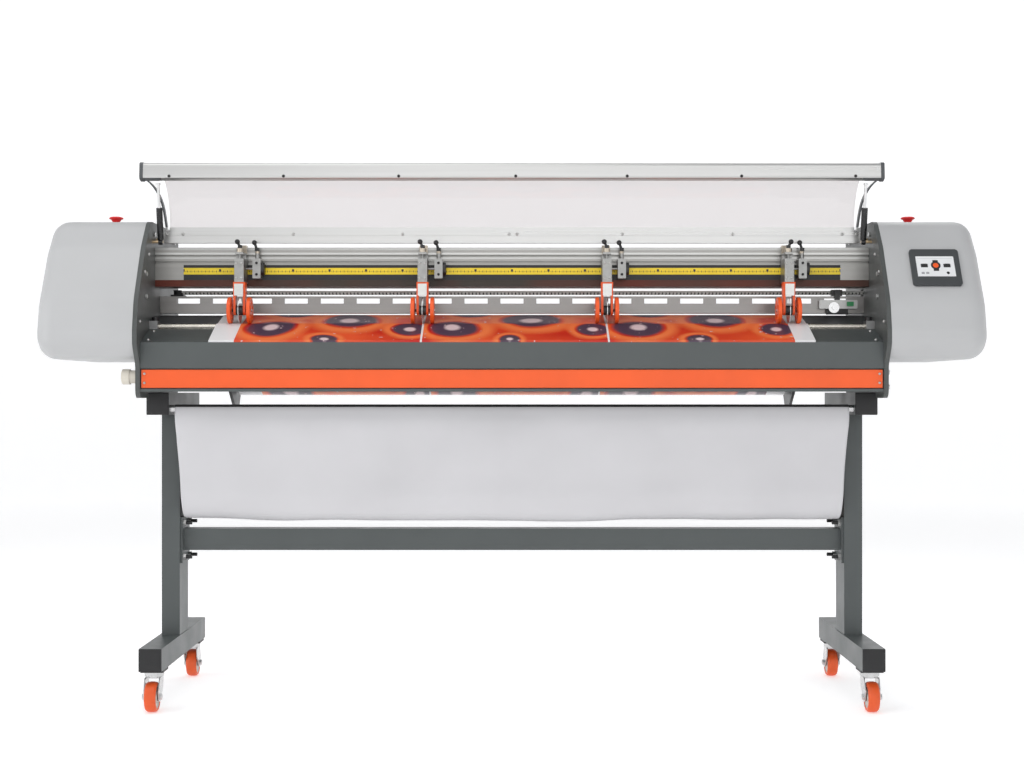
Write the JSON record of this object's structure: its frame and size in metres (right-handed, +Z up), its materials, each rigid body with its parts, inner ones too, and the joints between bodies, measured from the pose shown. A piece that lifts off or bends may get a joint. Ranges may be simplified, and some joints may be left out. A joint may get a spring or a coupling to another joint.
{
  "type": "large-format printer cutter",
  "caption": "Stand-mounted cross-and-lengthwise print trimmer: table with driven shaft, sliding disc cutters on a beam, belt-driven cross cutter, clear cover and catch basket.",
  "frame": {"origin": "on the floor, at the middle of the machine's width and depth", "axes": "+X along the machine to its control side, +Y to the roll side at the rear, +Z up"},
  "size_m": [2.5, 0.682, 1.4626],
  "materials": {
    "grey_paint": "satin powder coat",
    "dark_paint": "satin powder coat",
    "orange_paint": "satin powder coat",
    "black_paint": "satin paint",
    "black_plastic": "moulded",
    "housing_plastic": "fine moulded texture",
    "panel_plastic": "moulded",
    "red_plastic": "moulded",
    "cream_plastic": "turned",
    "aluminium": "anodised",
    "machined_aluminium": "machined",
    "bright_steel": "zinc plated",
    "shaft_steel": "ground",
    "dark_steel": "black finish",
    "belt_rubber": "toothed",
    "ruler_tape": "printed tape",
    "basket_fabric": "coated woven",
    "printed_vinyl": "printed, satin",
    "clear_sheet": "clear polycarbonate",
    "orange_tread": "polyurethane tread"
  },
  "bodies": {
    "root": {"crossbar": "grey_paint", "fasteners": "bright_steel", "tube_end_caps": "black_plastic", "front_apron": "grey_paint", "orange_band": "orange_paint", "shaft_bearings": "black_plastic", "media_bed": "dark_steel", "cross_rail": "aluminium", "cross_belt": "belt_rubber", "cutter_beam": "aluminium", "ruler": "ruler_tape", "control_panel": "panel_plastic", "inner_motors": "dark_steel", "power_inlet": "black_plastic", "basket_rods": "bright_steel", "basket_fabric": "basket_fabric", "roll_arms": "dark_steel", "print_web": "printed_vinyl", "left_leg": "grey_paint", "right_leg": "grey_paint", "left_side_plate": "dark_paint", "right_side_plate": "dark_paint", "left_housing": "housing_plastic", "right_housing": "housing_plastic"},
    "cover": {"cover_frame": "aluminium", "cover_sheet": "clear_sheet"},
    "left_strut_cylinder": {"left_strut_cylinder": "black_paint"},
    "left_strut_rod": {"left_strut_rod": "bright_steel"},
    "left_stop_button": {"left_stop_button": "red_plastic"},
    "right_strut_cylinder": {"right_strut_cylinder": "black_paint"},
    "right_strut_rod": {"right_strut_rod": "bright_steel"},
    "right_stop_button": {"right_stop_button": "red_plastic"},
    "side_knob": {"side_knob": "cream_plastic"},
    "drive_shaft": {"drive_shaft": "shaft_steel"},
    "print_roll": {"print_roll": "printed_vinyl"},
    "cross_carriage": {"cross_carriage": "black_paint"},
    "caster_fork_front_left": {"caster_fork_front_left": "bright_steel"},
    "caster_wheel_front_left": {"caster_wheel_front_left": "orange_tread"},
    "caster_fork_front_right": {"caster_fork_front_right": "bright_steel"},
    "caster_wheel_front_right": {"caster_wheel_front_right": "orange_tread"},
    "caster_fork_rear_left": {"caster_fork_rear_left": "bright_steel"},
    "caster_wheel_rear_left": {"caster_wheel_rear_left": "orange_tread"},
    "caster_fork_rear_right": {"caster_fork_rear_right": "bright_steel"},
    "caster_wheel_rear_right": {"caster_wheel_rear_right": "orange_tread"},
    "unit1_carrier": {"unit1_carrier": "machined_aluminium"},
    "unit1_lever": {"unit1_lever": "black_plastic"},
    "unit1_head": {"unit1_head": "machined_aluminium"},
    "unit1_wheels": {"unit1_wheels": "orange_paint"},
    "unit2_carrier": {"unit2_carrier": "machined_aluminium"},
    "unit2_lever": {"unit2_lever": "black_plastic"},
    "unit2_head": {"unit2_head": "machined_aluminium"},
    "unit2_wheels": {"unit2_wheels": "orange_paint"},
    "unit3_carrier": {"unit3_carrier": "machined_aluminium"},
    "unit3_lever": {"unit3_lever": "black_plastic"},
    "unit3_head": {"unit3_head": "machined_aluminium"},
    "unit3_wheels": {"unit3_wheels": "orange_paint"},
    "unit4_carrier": {"unit4_carrier": "machined_aluminium"},
    "unit4_lever": {"unit4_lever": "black_plastic"},
    "unit4_head": {"unit4_head": "machined_aluminium"},
    "unit4_wheels": {"unit4_wheels": "orange_paint"}
  },
  "joints": [
    {"name": "cover_hinge", "type": "hinge", "parent": "root", "child": "cover", "pos_m": [0, -0.095, 1.262], "axis": [1, 0, 0], "range_deg": [0, 76]},
    {"name": "left_strut_pivot", "type": "hinge", "parent": "root", "child": "left_strut_cylinder", "pos_m": [-0.955, -0.149, 1.252], "axis": [1, 0, 0], "range_deg": [0, 98.5]},
    {"name": "left_strut_slide", "type": "slide", "parent": "left_strut_cylinder", "child": "left_strut_rod", "axis": [0, -0.2367, 0.9716], "range_m": [-0.0605, 0]},
    {"name": "left_stop_press", "type": "slide", "parent": "root", "child": "left_stop_button", "axis": [0, 0, -1], "range_m": [0, 0.006], "stiffness_N_per_m": 800},
    {"name": "right_strut_pivot", "type": "hinge", "parent": "root", "child": "right_strut_cylinder", "pos_m": [0.955, -0.149, 1.252], "axis": [1, 0, 0], "range_deg": [0, 98.5]},
    {"name": "right_strut_slide", "type": "slide", "parent": "right_strut_cylinder", "child": "right_strut_rod", "axis": [0, -0.2367, 0.9716], "range_m": [-0.0605, 0]},
    {"name": "right_stop_press", "type": "slide", "parent": "root", "child": "right_stop_button", "axis": [0, 0, -1], "range_m": [0, 0.006], "stiffness_N_per_m": 800},
    {"name": "side_knob_turn", "type": "hinge", "parent": "root", "child": "side_knob", "pos_m": [-1, -0.27, 0.884], "axis": [1, 0, 0], "continuous": true},
    {"name": "drive_shaft_spin", "type": "hinge", "parent": "root", "child": "drive_shaft", "pos_m": [0, -0.168, 1.0206], "axis": [1, 0, 0], "continuous": true},
    {"name": "print_roll_spin", "type": "hinge", "parent": "root", "child": "print_roll", "pos_m": [0, 0.245, 0.925], "axis": [1, 0, 0], "continuous": true},
    {"name": "cross_carriage_slide", "type": "slide", "parent": "root", "child": "cross_carriage", "axis": [-1, 0, 0], "range_m": [0, 1.76]},
    {"name": "caster_swivel_front_left", "type": "hinge", "parent": "root", "child": "caster_fork_front_left", "pos_m": [-0.949, -0.262, 0.098], "axis": [0, 0, 1], "continuous": true},
    {"name": "caster_roll_front_left", "type": "hinge", "parent": "caster_fork_front_left", "child": "caster_wheel_front_left", "pos_m": [-0.949, -0.288, 0.04], "axis": [1, 0, 0], "continuous": true},
    {"name": "caster_swivel_front_right", "type": "hinge", "parent": "root", "child": "caster_fork_front_right", "pos_m": [0.949, -0.262, 0.098], "axis": [0, 0, 1], "continuous": true},
    {"name": "caster_roll_front_right", "type": "hinge", "parent": "caster_fork_front_right", "child": "caster_wheel_front_right", "pos_m": [0.949, -0.288, 0.04], "axis": [1, 0, 0], "continuous": true},
    {"name": "caster_swivel_rear_left", "type": "hinge", "parent": "root", "child": "caster_fork_rear_left", "pos_m": [-0.949, 0.262, 0.098], "axis": [0, 0, 1], "continuous": true},
    {"name": "caster_roll_rear_left", "type": "hinge", "parent": "caster_fork_rear_left", "child": "caster_wheel_rear_left", "pos_m": [-0.949, 0.288, 0.04], "axis": [1, 0, 0], "continuous": true},
    {"name": "caster_swivel_rear_right", "type": "hinge", "parent": "root", "child": "caster_fork_rear_right", "pos_m": [0.949, 0.262, 0.098], "axis": [0, 0, 1], "continuous": true},
    {"name": "caster_roll_rear_right", "type": "hinge", "parent": "caster_fork_rear_right", "child": "caster_wheel_rear_right", "pos_m": [0.949, 0.288, 0.04], "axis": [1, 0, 0], "continuous": true},
    {"name": "unit1_slide", "type": "slide", "parent": "root", "child": "unit1_carrier", "axis": [1, 0, 0], "range_m": [-0.15, 0.15]},
    {"name": "unit1_lift", "type": "slide", "parent": "unit1_carrier", "child": "unit1_head", "axis": [0, 0, 1], "range_m": [0, 0.008]},
    {"name": "unit1_lever_turn", "type": "hinge", "parent": "unit1_carrier", "child": "unit1_lever", "pos_m": [-0.737, -0.168, 1.233], "axis": [0, 0, 1], "range_deg": [0, 91]},
    {"name": "unit1_wheel_spin", "type": "hinge", "parent": "unit1_head", "child": "unit1_wheels", "pos_m": [-0.737, -0.168, 1.065], "axis": [1, 0, 0], "continuous": true},
    {"name": "unit2_slide", "type": "slide", "parent": "root", "child": "unit2_carrier", "axis": [1, 0, 0], "range_m": [-0.15, 0.15]},
    {"name": "unit2_lift", "type": "slide", "parent": "unit2_carrier", "child": "unit2_head", "axis": [0, 0, 1], "range_m": [0, 0.008]},
    {"name": "unit2_lever_turn", "type": "hinge", "parent": "unit2_carrier", "child": "unit2_lever", "pos_m": [-0.242, -0.168, 1.233], "axis": [0, 0, 1], "range_deg": [0, 91]},
    {"name": "unit2_wheel_spin", "type": "hinge", "parent": "unit2_head", "child": "unit2_wheels", "pos_m": [-0.242, -0.168, 1.065], "axis": [1, 0, 0], "continuous": true},
    {"name": "unit3_slide", "type": "slide", "parent": "root", "child": "unit3_carrier", "axis": [1, 0, 0], "range_m": [-0.15, 0.15]},
    {"name": "unit3_lift", "type": "slide", "parent": "unit3_carrier", "child": "unit3_head", "axis": [0, 0, 1], "range_m": [0, 0.008]},
    {"name": "unit3_lever_turn", "type": "hinge", "parent": "unit3_carrier", "child": "unit3_lever", "pos_m": [0.257, -0.168, 1.233], "axis": [0, 0, 1], "range_deg": [0, 91]},
    {"name": "unit3_wheel_spin", "type": "hinge", "parent": "unit3_head", "child": "unit3_wheels", "pos_m": [0.257, -0.168, 1.065], "axis": [1, 0, 0], "continuous": true},
    {"name": "unit4_slide", "type": "slide", "parent": "root", "child": "unit4_carrier", "axis": [1, 0, 0], "range_m": [-0.15, 0.09]},
    {"name": "unit4_lift", "type": "slide", "parent": "unit4_carrier", "child": "unit4_head", "axis": [0, 0, 1], "range_m": [0, 0.008]},
    {"name": "unit4_lever_turn", "type": "hinge", "parent": "unit4_carrier", "child": "unit4_lever", "pos_m": [0.749, -0.168, 1.233], "axis": [0, 0, 1], "range_deg": [0, 91]},
    {"name": "unit4_wheel_spin", "type": "hinge", "parent": "unit4_head", "child": "unit4_wheels", "pos_m": [0.749, -0.168, 1.065], "axis": [1, 0, 0], "continuous": true}
  ],
  "couplings": [
    {"joint": "left_strut_pivot", "follows": "cover_hinge", "ratio": 1.29},
    {"joint": "left_strut_slide", "follows": "cover_hinge", "m_per_rad": -0.045234},
    {"joint": "right_strut_pivot", "follows": "cover_hinge", "ratio": 1.29},
    {"joint": "right_strut_slide", "follows": "cover_hinge", "m_per_rad": -0.045234},
    {"joint": "unit1_lever_turn", "follows": "unit1_lift", "rad_per_m": 196.35},
    {"joint": "unit2_lever_turn", "follows": "unit2_lift", "rad_per_m": 196.35},
    {"joint": "unit3_lever_turn", "follows": "unit3_lift", "rad_per_m": 196.35},
    {"joint": "unit4_lever_turn", "follows": "unit4_lift", "rad_per_m": 196.35}
  ]
}
